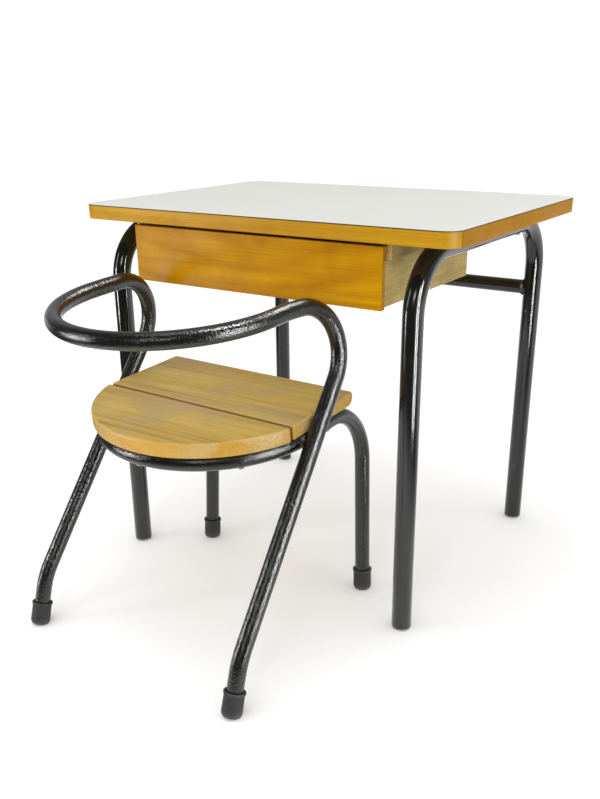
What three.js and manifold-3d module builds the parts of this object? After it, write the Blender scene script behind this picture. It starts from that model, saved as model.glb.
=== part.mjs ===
// A child's school set: a small desk with a hanging drawer, and a tubular steel armchair pushed up to it.
// Millimetres, +Z up. The desk is drawn from the middle of its front edge on the floor, with X to the right
// and Y towards its back. The chair is drawn from the middle of its seat ring, with Y towards its front.
import * as THREE from 'three';
import { mergeVertices } from 'three/addons/utils/BufferGeometryUtils.js';
import Module from 'manifold-3d';

const wasm = await Module();
wasm.setup();

// ---- clearances ----
const seam = 0.3; // between pieces that touch
const holeClearance = 0.4; // around a screw's shank
const slideClearance = 0.8; // between the drawer and what it slides in

// ---- desk top ----
const deskWidth = 600;
const deskDepth = 432;
const deskHeight = 544;
const deskCorner = 25; // plan radius of the four corners
const laminateThickness = 1.2;
const coreThickness = 19;
const lippingWidth = 18; // how deep the solid wood edging is

// ---- desk frame ----
const deskTube = 26.9;
const deskTubeWall = 1.6;
const deskBend = 75; // centreline radius of the two top bends
const frameInset = 57; // from the top's side edge to the frame's plane
const frontLegInset = 14.5; // from the top's front edge to the front leg's axis
const rearLegInset = 2; // from the top's rear edge to the rear leg's axis
const stretcherTube = 22;
const stretcherTubeWall = 1.5;
const stretcherDrop = 143; // from the table's surface down to the stretcher's axis
const glideThickness = 3;
const glidePlugLength = 14;
const frameScrewInset = 10; // along the straight top tube, from where a bend ends
const screwBite = 13; // how far a screw goes into the wood

// ---- drawer ----
const drawerSideGap = 27; // between a leg frame and the drawer front's edge
const drawerTopGap = 4.5; // under the desk top
const drawerSetback = 8; // of the drawer front behind the top's front edge
const drawerFrontHeight = 78.5;
const drawerFrontThickness = 9;
const drawerDepth = 256; // from the drawer front's face to the box's back
const drawerBoxInset = 1; // of the box's side behind the drawer front's edge
const drawerBoxRise = 3; // of the box's underside above the drawer front's
const drawerWall = 12;
const drawerBottomThickness = 4;
const drawerBottomRise = 3; // of the bottom panel above the sides' lower edge
const drawerBackDrop = 10; // of the back's upper edge below the sides'
const grooveDepth = 6; // of the groove along the outside of each drawer side
const grooveDrop = 8; // of the groove's upper edge below the drawer side's
const runnerWeb = 6.5;
const runnerTongue = 8; // height of the tongue that stands in the drawer's groove
const runnerSetback = 2.5; // of the runner's end behind the drawer front
const runnerLength = 290;
const runnerScrewInset = 45; // from each end of a runner

// ---- chair frame ----
const chairTube = 21.3;
const chairTubeWall = 1.5;
const kneeHalf = 175; // half the distance between the rear feet, at the knees
const kneeBack = 177; // behind the seat ring's centre
const kneeHeight = 66;
const kneeBend = 100;
const rearFootBack = 196;
const elbowHalf = 164.5; // half width where the line of the leg meets the line of the arm
const elbowFront = 112;
const elbowHeight = 458;
const elbowBend = 62;
const loopHalf = 148; // half width where the back loop starts
const loopBack = 37;
const loopHeight = 455;
const loopDepth = 175.5;
const loopDrop = 12.5; // how much lower the middle of the back is than the loop's ends
const loopEase = 200; // bend that takes the arm into the loop
const weldGap = 0.5; // between the leaning leg and the seat rail that it is welded to
const frontFootHalf = 148;
const frontFootFront = 145;
const railCornerFront = 153;
const railTaper = 10; // how much closer together the rails are at the front
const frontBend = 85;

// ---- seat ----
const seatHeight = 319; // top of the boards over the ring's centre
const seatSlope = 0.065; // rise towards the front
const boardThickness = 20;
const boardRound = 5; // rounding of the boards' edges
const seatBackCurve = 165;
const seatBackCentre = 4; // of the rear board's curve, in front of the ring's centre
const boardSplit = -39; // middle of the gap between the boards
const boardGap = 3.4;
const seatFront = 99;
const seatCorner = 6;
const seatUnderBevel = 11; // cut along the underside of the front edge, up its face

// ---- feet of the chair ----
const ferruleHeight = 32;
const ferruleWall = 2.2;
const ferruleRim = 0.9; // how far the rim stands out
const ferruleRimHeight = 3;
const ferruleSole = 6; // rubber under the tube, along its axis

// ---- where the chair stands ----
const chairOffset = -7; // to the left of the desk's middle
const chairTurn = THREE.MathUtils.degToRad(-1.6);
const elbowSetback = 3.8; // between the foremost point of the arms and the line of the desk's front edge

// ---- fineness of the round shapes ----
const tubeSides = 14;
const boreSides = 8;
const turnedSides = 14;
const bendStep = THREE.MathUtils.degToRad(14);

// ---- worked out from the above ----
const coreTop = deskHeight - laminateThickness - seam;
const underside = coreTop - coreThickness;
const frameX = deskWidth / 2 - frameInset;
const topTubeZ = underside - seam - deskTube / 2;
const frontLegY = frontLegInset;
const rearLegY = deskDepth - rearLegInset;
const stretcherZ = deskHeight - stretcherDrop;
const railTop = seatHeight - boardThickness - seam; // of the seat rails, over the ring's centre
const railZ = railTop - chairTube / 2;

// ---- finishes ----
const finishes = {
  laminate: { color: 0xe3e4df, roughness: 0.32, metalness: 0 },
  board: { color: 0xb59a6a, roughness: 0.8, metalness: 0 },
  lipping: { color: 0xb6882c, roughness: 0.4, metalness: 0 },
  blackGloss: { color: 0x1b1c1a, roughness: 0.2, metalness: 0.3 },
  blackHammered: { color: 0x1f201e, roughness: 0.3, metalness: 0.3 },
  glide: { color: 0x9a9a8c, roughness: 0.6, metalness: 0 },
  steel: { color: 0x8c8c88, roughness: 0.4, metalness: 0.9 },
  drawerFront: { color: 0xc18f1a, roughness: 0.4, metalness: 0 },
  drawerBox: { color: 0xa68a59, roughness: 0.75, metalness: 0 },
  seatWood: { color: 0xb4a06e, roughness: 0.5, metalness: 0 },
  rubber: { color: 0x414141, roughness: 0.75, metalness: 0 },
};

function piece(name, geometry, finish) {
  const mesh = new THREE.Mesh(geometry, new THREE.MeshStandardMaterial(finishes[finish]));
  mesh.name = name;
  return mesh;
}

// ---- joining and cutting ----

function toSolid(geometry) {
  const bare = geometry.clone();
  bare.deleteAttribute('normal');
  bare.deleteAttribute('uv');
  const merged = mergeVertices(bare, 1e-4);
  return new wasm.Manifold(new wasm.Mesh({
    numProp: 3,
    vertProperties: new Float32Array(merged.attributes.position.array),
    triVerts: new Uint32Array(merged.index.array),
  }));
}

function toGeometry(solid) {
  const mesh = solid.getMesh();
  const geometry = new THREE.BufferGeometry();
  geometry.setAttribute('position', new THREE.BufferAttribute(new Float32Array(mesh.vertProperties), 3));
  geometry.setIndex(new THREE.BufferAttribute(new Uint32Array(mesh.triVerts), 1));
  geometry.computeVertexNormals();
  return geometry;
}

function cut(geometry, cutters) {
  let solid = toSolid(geometry);
  for (const cutter of cutters) {
    solid = solid.subtract(toSolid(cutter));
  }
  return toGeometry(solid);
}

// ---- simple shapes ----

// A box from its lowest corner to its highest.
function block(x0, y0, z0, x1, y1, z1) {
  const geometry = new THREE.BoxGeometry(x1 - x0, y1 - y0, z1 - z0);
  geometry.translate((x0 + x1) / 2, (y0 + y1) / 2, (z0 + z1) / 2);
  return geometry;
}

// A flat shape in the XY plane, made thick upwards from z.
function slab(shape, z, thickness, curveSegments = 8) {
  const geometry = new THREE.ExtrudeGeometry(shape, { depth: thickness, bevelEnabled: false, curveSegments });
  geometry.translate(0, 0, z);
  return geometry;
}

// The same with rounded edges. The shape is drawn at its full size.
function roundedSlab(shape, z, thickness, round, curveSegments) {
  const geometry = new THREE.ExtrudeGeometry(shape, {
    depth: thickness - 2 * round,
    bevelThickness: round,
    bevelSize: round,
    bevelOffset: -round,
    bevelSegments: 3,
    curveSegments,
  });
  geometry.translate(0, 0, z + round);
  return geometry;
}

// A turned shape about Z, from radius and height pairs.
function turned(profile, sides = turnedSides) {
  const geometry = new THREE.LatheGeometry(profile.map(([r, z]) => new THREE.Vector2(r, z)), sides);
  return geometry.rotateX(Math.PI / 2);
}

// A plain rod along Z, used to bore holes.
function rod(radius, z0, z1, sides = 10) {
  return turned([[0, z0], [radius, z0], [radius, z1], [0, z1]], sides);
}

function circlePoints(radius, sides) {
  const points = [];
  for (let k = 0; k < sides; k += 1) {
    const angle = (2 * Math.PI * k) / sides;
    points.push(new THREE.Vector2(radius * Math.cos(angle), radius * Math.sin(angle)));
  }
  return points;
}

// ---- bent tubes ----

// A path that is sampled at chosen stations, each a point and the tube's direction there.
class StationPath extends THREE.Curve {
  constructor(stations) {
    super();
    this.stations = stations;
  }

  stationAt(u) {
    return this.stations[Math.round(u * (this.stations.length - 1))];
  }

  getPointAt(u, target = new THREE.Vector3()) {
    return target.copy(this.stationAt(u).point);
  }

  getTangentAt(u, target = new THREE.Vector3()) {
    return target.copy(this.stationAt(u).direction);
  }
}

// Stations along straight lines from corner to corner, with a round bend of a given radius at each
// inner corner.
function bentLine(corners, bends) {
  const stations = [];
  const startWay = corners[1].clone().sub(corners[0]).normalize();
  stations.push({ point: corners[0].clone(), direction: startWay });
  for (let k = 1; k < corners.length - 1; k += 1) {
    const wayIn = corners[k].clone().sub(corners[k - 1]).normalize();
    const wayOut = corners[k + 1].clone().sub(corners[k]).normalize();
    const sweep = wayIn.angleTo(wayOut);
    const axis = wayIn.clone().cross(wayOut).normalize();
    const start = corners[k].clone().addScaledVector(wayIn, -bends[k - 1] * Math.tan(sweep / 2));
    const centre = start.clone().addScaledVector(axis.clone().cross(wayIn), bends[k - 1]);
    const steps = Math.max(2, Math.ceil(sweep / bendStep));
    for (let n = 0; n <= steps; n += 1) {
      const turn = (sweep * n) / steps;
      stations.push({
        point: start.clone().sub(centre).applyAxisAngle(axis, turn).add(centre),
        direction: wayIn.clone().applyAxisAngle(axis, turn),
      });
    }
  }
  const last = corners.length - 1;
  const endWay = corners[last].clone().sub(corners[last - 1]).normalize();
  stations.push({ point: corners[last].clone(), direction: endWay });
  return stations;
}

// The same stations seen in the plane X = 0 and walked the other way.
function mirrored(stations) {
  const flip = new THREE.Vector3(-1, 1, 1);
  return stations.map(({ point, direction }) => ({
    point: point.clone().multiply(flip),
    direction: direction.clone().multiply(flip).negate(),
  })).reverse();
}

function tubeAlong(stations, diameter, wall) {
  const section = new THREE.Shape(circlePoints(diameter / 2, tubeSides));
  section.holes.push(new THREE.Path(circlePoints(diameter / 2 - wall, boreSides)));
  return new THREE.ExtrudeGeometry(section, {
    steps: stations.length - 1,
    extrudePath: new StationPath(stations),
    bevelEnabled: false,
  });
}

// ---- screws ----

// A round-head wood screw along Z, its head's seat at 0 and its point upwards.
function screwShape(shank, length, head) {
  const headHeight = head * 0.62;
  return turned([
    [0, -headHeight],
    [head * 0.62, -headHeight * 0.82],
    [head, -headHeight * 0.2],
    [head, 0],
    [shank, 0],
    [shank, length - 2.5 * shank],
    [0, length],
  ], 10);
}

// ---- desk top ----

// How far out the rounded corner is at a distance in from the front or rear edge.
function cornerReach(inset) {
  const up = deskCorner - inset;
  return deskWidth / 2 - deskCorner + Math.sqrt(deskCorner ** 2 - up ** 2);
}

function topOutline() {
  const x = deskWidth / 2;
  const r = deskCorner;
  const shape = new THREE.Shape();
  shape.moveTo(-x + r, 0);
  shape.lineTo(x - r, 0);
  shape.absarc(x - r, r, r, -Math.PI / 2, 0, false);
  shape.lineTo(x, deskDepth - r);
  shape.absarc(x - r, deskDepth - r, r, 0, Math.PI / 2, false);
  shape.lineTo(-x + r, deskDepth);
  shape.absarc(-x + r, deskDepth - r, r, Math.PI / 2, Math.PI, false);
  shape.lineTo(-x, r);
  shape.absarc(-x + r, r, r, Math.PI, Math.PI * 1.5, false);
  return shape;
}

// The front strip, which runs through from corner to corner; the rear one is the same, turned round.
function endStrip() {
  const inner = deskWidth / 2 - deskCorner;
  const stop = Math.acos((deskCorner - lippingWidth) / deskCorner);
  const shape = new THREE.Shape();
  shape.moveTo(-cornerReach(lippingWidth), lippingWidth);
  shape.absarc(-inner, deskCorner, deskCorner, -Math.PI / 2 - stop, -Math.PI / 2, false);
  shape.lineTo(inner, 0);
  shape.absarc(inner, deskCorner, deskCorner, -Math.PI / 2, -Math.PI / 2 + stop, false);
  shape.lineTo(-cornerReach(lippingWidth), lippingWidth);
  return shape;
}

// A side strip butts between the front and rear strips.
function sideStrip(side) {
  const inset = lippingWidth + seam;
  const inner = deskWidth / 2 - deskCorner;
  const start = Math.acos((deskCorner - inset) / deskCorner);
  const back = deskWidth / 2 - lippingWidth;
  const outline = new THREE.Path();
  outline.moveTo(back, inset);
  outline.absarc(inner, deskCorner, deskCorner, -Math.PI / 2 + start, 0, false);
  outline.absarc(inner, deskDepth - deskCorner, deskCorner, 0, Math.PI / 2 - start, false);
  outline.lineTo(back, deskDepth - inset);
  const points = outline.getPoints(6).map((point) => new THREE.Vector2(side * point.x, point.y));
  return new THREE.Shape(side > 0 ? points : points.reverse());
}

const sides = [['left', -1], ['right', 1]];
const frameScrewRows = [
  ['front', frontLegY + deskBend + frameScrewInset],
  ['rear', rearLegY - deskBend - frameScrewInset],
];
const screw = { shank: 2, head: 4.2 };
const frameScrewLength = deskTube + seam + screwBite;

const drawerFrontHalf = frameX - deskTube / 2 - drawerSideGap;
const drawerFrontTop = underside - drawerTopGap;
const drawerFrontBottom = drawerFrontTop - drawerFrontHeight;
const drawerFrontBack = drawerSetback + drawerFrontThickness;
const drawerBoxHalf = drawerFrontHalf - drawerBoxInset;
const drawerRear = drawerSetback + drawerDepth;
const runnerInner = drawerBoxHalf + slideClearance;
const runnerOuter = runnerInner + runnerWeb;
const runnerFront = drawerFrontBack + runnerSetback;
const runnerRear = runnerFront + runnerLength;
const runnerTop = underside - seam;
const drawerSideTop = drawerFrontTop - slideClearance;
const grooveTop = drawerSideTop - grooveDrop;
const tongueTop = grooveTop - seam;
const runnerBottom = tongueTop - runnerTongue;
const grooveBottom = runnerBottom - slideClearance;
const grooveInner = drawerBoxHalf - grooveDepth;
const runnerScrewX = (runnerInner + runnerOuter) / 2;
const runnerScrewRows = [['front', runnerFront + runnerScrewInset], ['rear', runnerRear - runnerScrewInset]];
const runnerScrew = { shank: 1.3, head: 2.9 };
const runnerScrewLength = runnerTop - runnerBottom + seam + screwBite;

function buildDeskTop() {
  const pilot = screwBite + 1;
  const bores = [];
  for (const [, side] of sides) {
    for (const [, y] of frameScrewRows) {
      bores.push(rod(screw.shank + holeClearance, -1, pilot).translate(side * frameX, y, underside));
    }
    for (const [, y] of runnerScrewRows) {
      bores.push(rod(runnerScrew.shank + holeClearance, -1, pilot).translate(side * runnerScrewX, y, underside));
    }
  }
  const coreHalf = deskWidth / 2 - lippingWidth - seam;
  const core = block(-coreHalf, lippingWidth + seam, underside, coreHalf, deskDepth - lippingWidth - seam, coreTop);
  const ending = slab(endStrip(), underside, coreThickness);
  const group = new THREE.Group();
  group.add(piece('desk_laminate_sheet', slab(topOutline(), coreTop + seam, laminateThickness), 'laminate'));
  group.add(piece('desk_core_panel', cut(core, bores), 'board'));
  group.add(piece('lipping_front', ending, 'lipping'));
  const rearStrip = piece('lipping_rear', ending.clone(), 'lipping');
  rearStrip.rotation.z = Math.PI;
  rearStrip.position.y = deskDepth;
  group.add(rearStrip);
  for (const [name, side] of sides) {
    group.add(piece(`lipping_${name}`, slab(sideStrip(side), underside, coreThickness), 'lipping'));
  }
  return group;
}

// ---- desk frame ----

const deskLegFoot = glideThickness + seam;

// An inverted U: front leg, top tube and rear leg in one bent tube, with two screw holes through its top.
function sideFrame(side) {
  const x = side * frameX;
  const stations = bentLine([
    new THREE.Vector3(x, frontLegY, deskLegFoot),
    new THREE.Vector3(x, frontLegY, topTubeZ),
    new THREE.Vector3(x, rearLegY, topTubeZ),
    new THREE.Vector3(x, rearLegY, deskLegFoot),
  ], [deskBend, deskBend]);
  const bores = frameScrewRows.map(([, y]) => (
    rod(screw.shank + holeClearance, -deskTube, deskTube).translate(x, y, topTubeZ)
  ));
  return cut(tubeAlong(stations, deskTube, deskTubeWall), bores);
}

// The cross tube between the rear legs, its ends shaped to the legs that it is welded to.
function stretcher() {
  const tube = tubeAlong([
    { point: new THREE.Vector3(-frameX, rearLegY, stretcherZ), direction: new THREE.Vector3(1, 0, 0) },
    { point: new THREE.Vector3(frameX, rearLegY, stretcherZ), direction: new THREE.Vector3(1, 0, 0) },
  ], stretcherTube, stretcherTubeWall);
  const legs = sides.map(([, side]) => (
    rod(deskTube / 2 + seam, -deskTube, deskTube, 28).translate(side * frameX, rearLegY, stretcherZ)
  ));
  const reach = frameX + deskTube;
  const ends = sides.map(([, side]) => {
    const near = side * frameX;
    const far = side * reach;
    return block(Math.min(near, far), rearLegY - deskTube, stretcherZ - deskTube,
      Math.max(near, far), rearLegY + deskTube, stretcherZ + deskTube);
  });
  return cut(tube, [...legs, ...ends]);
}

// A glide: a disc that the leg stands on, with a plug that goes up inside the tube.
function glide() {
  const bore = (deskTube / 2 - deskTubeWall) * Math.cos(Math.PI / boreSides);
  const plug = bore - seam;
  const disc = deskTube / 2 - 0.6;
  return turned([
    [0, 0],
    [disc - 1, 0],
    [disc, 1],
    [disc, glideThickness],
    [plug, glideThickness],
    [plug, glideThickness + glidePlugLength - 2],
    [plug - 2, glideThickness + glidePlugLength],
    [0, glideThickness + glidePlugLength],
  ]);
}

function buildDeskFrame() {
  const group = new THREE.Group();
  const screwSeat = topTubeZ - deskTube / 2 - seam;
  for (const [name, side] of sides) {
    group.add(piece(`desk_frame_${name}`, sideFrame(side), 'blackGloss'));
    for (const [place, y] of [['front', frontLegY], ['rear', rearLegY]]) {
      const foot = piece(`desk_glide_${place}_${name}`, glide(), 'glide');
      foot.position.set(side * frameX, y, 0);
      group.add(foot);
    }
    for (const [place, y] of frameScrewRows) {
      const geometry = screwShape(screw.shank, frameScrewLength, screw.head);
      const fixing = piece(`frame_screw_${place}_${name}`, geometry, 'steel');
      fixing.position.set(side * frameX, y, screwSeat);
      group.add(fixing);
    }
  }
  group.add(piece('rear_stretcher', stretcher(), 'blackGloss'));
  return group;
}

// ---- drawer and its runners ----

// A strip along Y from a section in X and Z, or the same strip on the other side of the desk.
function strip(section, side, y0, y1) {
  const shape = new THREE.Shape(section.map(([x, z]) => new THREE.Vector2(x, z)));
  const geometry = new THREE.ExtrudeGeometry(shape, { depth: y1 - y0, bevelEnabled: false });
  geometry.rotateX(Math.PI / 2).translate(0, y1, 0);
  return side > 0 ? geometry : geometry.rotateZ(Math.PI).translate(0, y0 + y1, 0);
}

// An L-shaped strip under the desk top. Its tongue carries the drawer by the groove in its side.
function runner(side) {
  const geometry = strip([
    [grooveInner + slideClearance, runnerBottom],
    [runnerOuter, runnerBottom],
    [runnerOuter, runnerTop],
    [runnerInner, runnerTop],
    [runnerInner, tongueTop],
    [grooveInner + slideClearance, tongueTop],
  ], side, runnerFront, runnerRear);
  const bores = runnerScrewRows.map(([, y]) => (
    rod(runnerScrew.shank + holeClearance, runnerBottom - 1, runnerTop + 1).translate(side * runnerScrewX, y, 0)
  ));
  return cut(geometry, bores);
}

function buildRunners() {
  const group = new THREE.Group();
  for (const [name, side] of sides) {
    group.add(piece(`drawer_runner_${name}`, runner(side), 'drawerBox'));
    for (const [place, y] of runnerScrewRows) {
      const geometry = screwShape(runnerScrew.shank, runnerScrewLength, runnerScrew.head);
      const fixing = piece(`runner_screw_${place}_${name}`, geometry, 'steel');
      fixing.position.set(side * runnerScrewX, y, runnerBottom - seam);
      group.add(fixing);
    }
  }
  return group;
}

function buildDrawer() {
  const boxBottom = drawerFrontBottom + drawerBoxRise;
  const boxFront = drawerFrontBack + seam;
  const inside = drawerBoxHalf - drawerWall - seam;
  const panelBottom = boxBottom + drawerBottomRise;
  const panelTop = panelBottom + drawerBottomThickness;
  const group = new THREE.Group();
  group.add(piece('drawer_front', block(-drawerFrontHalf, drawerSetback, drawerFrontBottom,
    drawerFrontHalf, drawerFrontBack, drawerFrontTop), 'drawerFront'));
  group.add(piece('drawer_bottom', block(-inside, boxFront, panelBottom,
    inside, drawerRear - drawerWall - seam, panelTop), 'drawerBox'));
  group.add(piece('drawer_back', block(-inside, drawerRear - drawerWall, boxBottom,
    inside, drawerRear, drawerSideTop - drawerBackDrop), 'drawerBox'));
  for (const [name, side] of sides) {
    const wall = strip([
      [drawerBoxHalf - drawerWall, boxBottom],
      [drawerBoxHalf, boxBottom],
      [drawerBoxHalf, grooveBottom],
      [grooveInner, grooveBottom],
      [grooveInner, grooveTop],
      [drawerBoxHalf, grooveTop],
      [drawerBoxHalf, drawerSideTop],
      [drawerBoxHalf - drawerWall, drawerSideTop],
    ], side, boxFront, drawerRear);
    group.add(piece(`drawer_side_${name}`, wall, 'drawerBox'));
  }
  return group;
}

// ---- chair frame ----

// Height of the rails' centreline at a distance in front of the ring's centre.
function railHeight(y) {
  return railZ + seatSlope * y;
}

// The leaning leg runs straight from the knee to the elbow. Where it passes the rail's height sets how
// wide the ring can be.
const crossing = (railZ - kneeHeight) / (elbowHeight - kneeHeight);
const legHalfAtRail = THREE.MathUtils.lerp(kneeHalf, elbowHalf, crossing);
const ringRadius = legHalfAtRail - chairTube - weldGap;
const railCornerHalf = ringRadius - railTaper;

// The rails leave the ring along a tangent, turned inwards by this much.
const railLean = Math.atan2(railCornerFront, railCornerHalf)
  - Math.acos(ringRadius / Math.hypot(railCornerHalf, railCornerFront));
const railStart = new THREE.Vector2(ringRadius * Math.cos(railLean), ringRadius * Math.sin(railLean));

// The front board just fits between the two leaning legs.
const legShareAtSeat = (seatHeight + boardRound - kneeHeight) / (elbowHeight - kneeHeight);
const seatHalf = THREE.MathUtils.lerp(kneeHalf, elbowHalf, legShareAtSeat) - chairTube / 2 - seam;

// Where an axis stands on the floor, and where its tube starts above the rubber sole.
function footOf(x, y, next) {
  const floor = new THREE.Vector3(x, y, 0);
  const up = next.clone().sub(floor).normalize();
  return { floor, up, tubeEnd: floor.clone().addScaledVector(up, ferruleSole) };
}

const knee = new THREE.Vector3(kneeHalf, -kneeBack, kneeHeight);
const rearFoot = footOf(kneeHalf, -rearFootBack, knee);
const railCorner = new THREE.Vector3(railCornerHalf, railCornerFront, railHeight(railCornerFront));
const frontFoot = footOf(frontFootHalf, frontFootFront, railCorner);

// One tube: rear foot, leaning leg, elbow, arm, back loop, and the same down the other side.
function armTube() {
  const elbow = new THREE.Vector3(elbowHalf, elbowFront, elbowHeight);
  const loopStart = new THREE.Vector3(loopHalf, -loopBack, loopHeight);
  const easeAngle = Math.atan2(elbowHalf - loopHalf, elbowFront + loopBack);
  const easeLength = 2 * loopEase * Math.tan(easeAngle / 2);
  const loopLength = loopDepth - easeLength;
  const slope = loopDrop / loopDepth;
  const bowStart = loopStart.clone().add(new THREE.Vector3(0, -easeLength, -slope * easeLength));
  const line = bentLine([rearFoot.tubeEnd, knee, elbow, loopStart, bowStart], [kneeBend, elbowBend, loopEase]);
  line.pop();
  const bow = [];
  const steps = 20;
  for (let n = 0; n <= steps; n += 1) {
    const angle = (Math.PI * n) / steps;
    const across = Math.cos(angle);
    const back = Math.sin(angle);
    const point = new THREE.Vector3(loopHalf * across, -loopLength * back, -slope * loopLength * back);
    const direction = new THREE.Vector3(-loopHalf * back, -loopLength * across, -slope * loopLength * across);
    const middle = new THREE.Vector3(0, bowStart.y, bowStart.z);
    bow.push({ point: point.add(middle), direction: direction.normalize() });
  }
  return [...line, ...bow, ...mirrored(line)];
}

// One tube: front foot, front leg, bend, side rail, seat ring, and the same back to the other front foot.
function seatTube() {
  const tangent = new THREE.Vector3(railStart.x, railStart.y, railHeight(railStart.y));
  const line = bentLine([frontFoot.tubeEnd, railCorner, tangent], [frontBend]);
  line.pop();
  const ring = [];
  const steps = 20;
  for (let n = 0; n <= steps; n += 1) {
    const angle = railLean - ((Math.PI + 2 * railLean) * n) / steps;
    const x = ringRadius * Math.cos(angle);
    const y = ringRadius * Math.sin(angle);
    const direction = new THREE.Vector3(Math.sin(angle), -Math.cos(angle), -seatSlope * Math.cos(angle));
    ring.push({ point: new THREE.Vector3(x, y, railHeight(y)), direction: direction.normalize() });
  }
  return [...line, ...ring, ...mirrored(line)];
}

// ---- chair feet ----

// A rubber ferrule about Z, with its sole at 0 and a rim round its mouth.
function ferruleShape() {
  const bore = (chairTube / 2 + seam) / Math.cos(Math.PI / turnedSides);
  const outer = bore + ferruleWall;
  const sole = ferruleSole - seam;
  const overrun = 5; // rubber below the floor, trimmed off afterwards
  return turned([
    [0, -overrun],
    [outer - 1.2, -overrun],
    [outer - 0.6, 1],
    [outer, 4],
    [outer, ferruleHeight - ferruleRimHeight],
    [outer + ferruleRim, ferruleHeight - ferruleRimHeight + 0.8],
    [outer + ferruleRim, ferruleHeight - 0.8],
    [outer, ferruleHeight],
    [bore, ferruleHeight],
    [bore, sole],
    [0, sole],
  ]);
}

// The ferrule lines up with its tube and is flat where it stands on the floor.
function ferrule(foot, side) {
  const up = foot.up.clone();
  up.x *= side;
  const place = foot.floor.clone();
  place.x *= side;
  const geometry = ferruleShape();
  geometry.applyQuaternion(new THREE.Quaternion().setFromUnitVectors(new THREE.Vector3(0, 0, 1), up));
  geometry.translate(place.x, place.y, place.z);
  const reach = 3 * chairTube;
  const ground = block(place.x - reach, place.y - reach, -reach, place.x + reach, place.y + reach, 0);
  return cut(geometry, [ground]);
}

// ---- seat ----

// Screws come up through the rails and the ring into the boards. Each has a place on the tube.
const ringScrewAngle = THREE.MathUtils.degToRad(52);
const seatScrewReach = chairTube + seam + screwBite;
const railWay = new THREE.Vector3(railStart.x, railStart.y, railHeight(railStart.y)).sub(railCorner).normalize();
const railBendLength = frontBend * Math.tan(frontFoot.up.angleTo(railWay) / 2);
const railScrewInset = 8; // along the straight rail, from either end of it
const railScrewRows = [
  ['rail_rear', railStart.y + railScrewInset],
  ['rail_front', railCornerFront + railBendLength * railWay.y - railScrewInset],
];

function railHalfAt(y) {
  const along = (y - railStart.y) / (railCornerFront - railStart.y);
  return THREE.MathUtils.lerp(railStart.x, railCornerHalf, along);
}

const seatScrews = [];
for (const [name, side] of sides) {
  for (const [place, y] of railScrewRows) {
    seatScrews.push({ name: `seat_screw_${place}_${name}`, x: side * railHalfAt(y), y });
  }
  seatScrews.push({
    name: `seat_screw_ring_${name}`,
    x: side * ringRadius * Math.sin(ringScrewAngle),
    y: -ringRadius * Math.cos(ringScrewAngle),
  });
}
seatScrews.push({ name: 'seat_screw_ring_back', x: 0, y: -ringRadius });

// Everything that is square to the sloping seat is drawn flat and then put in its place by this matrix.
// Its Z is 0 on the rails' centreline.
const seatFrame = new THREE.Matrix4().makeRotationX(Math.atan(seatSlope)).setPosition(0, 0, railZ);
const slopeLength = Math.hypot(1, seatSlope);

function onSeat(x, y, z) {
  return new THREE.Matrix4().makeTranslation(x, y * slopeLength, z).premultiply(seatFrame);
}

function rearBoard() {
  const edge = boardSplit - boardGap / 2;
  const start = Math.asin((edge - seatBackCentre) / seatBackCurve);
  const shape = new THREE.Shape();
  shape.absarc(0, seatBackCentre, seatBackCurve, Math.PI - start, 2 * Math.PI + start, false);
  return shape;
}

function frontBoard() {
  const back = boardSplit + boardGap / 2;
  const r = seatCorner;
  const heel = boardRound + 1;
  const shape = new THREE.Shape();
  shape.moveTo(-seatHalf + heel, back);
  shape.lineTo(seatHalf - heel, back);
  shape.absarc(seatHalf - heel, back + heel, heel, -Math.PI / 2, 0, false);
  shape.absarc(seatHalf - r, seatFront - r, r, 0, Math.PI / 2, false);
  shape.absarc(-seatHalf + r, seatFront - r, r, Math.PI / 2, Math.PI, false);
  shape.absarc(-seatHalf + heel, back + heel, heel, Math.PI, Math.PI * 1.5, false);
  return shape;
}

const boardBottom = chairTube / 2 + seam;

function seatBoard(shape, curveSegments, extraCuts = []) {
  const geometry = roundedSlab(shape, boardBottom, boardThickness, boardRound, curveSegments);
  const bores = seatScrews.map(({ x, y }) => (
    rod(screw.shank + holeClearance, 0, boardBottom + screwBite + 1).translate(x, y * slopeLength, 0)
  ));
  return cut(geometry, [...bores, ...extraCuts]).applyMatrix4(seatFrame);
}

// The wedge taken off under the front edge, so that it doesn't press into the thighs' undersides.
function underBevel() {
  const run = 1.6 * seatUnderBevel;
  const shape = new THREE.Shape([
    new THREE.Vector2(seatFront - run, boardBottom),
    new THREE.Vector2(seatFront - run, boardBottom - 1),
    new THREE.Vector2(seatFront + 1, boardBottom - 1),
    new THREE.Vector2(seatFront + 1, boardBottom + seatUnderBevel * (1 + 1 / run)),
  ]);
  const geometry = new THREE.ExtrudeGeometry(shape, { depth: 2 * seatHalf + 2, bevelEnabled: false });
  // drawn with Y and Z as the section, then laid along X
  const swap = new THREE.Matrix4().set(0, 0, 1, -seatHalf - 1, 1, 0, 0, 0, 0, 1, 0, 0, 0, 0, 0, 1);
  return geometry.applyMatrix4(swap);
}

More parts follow.
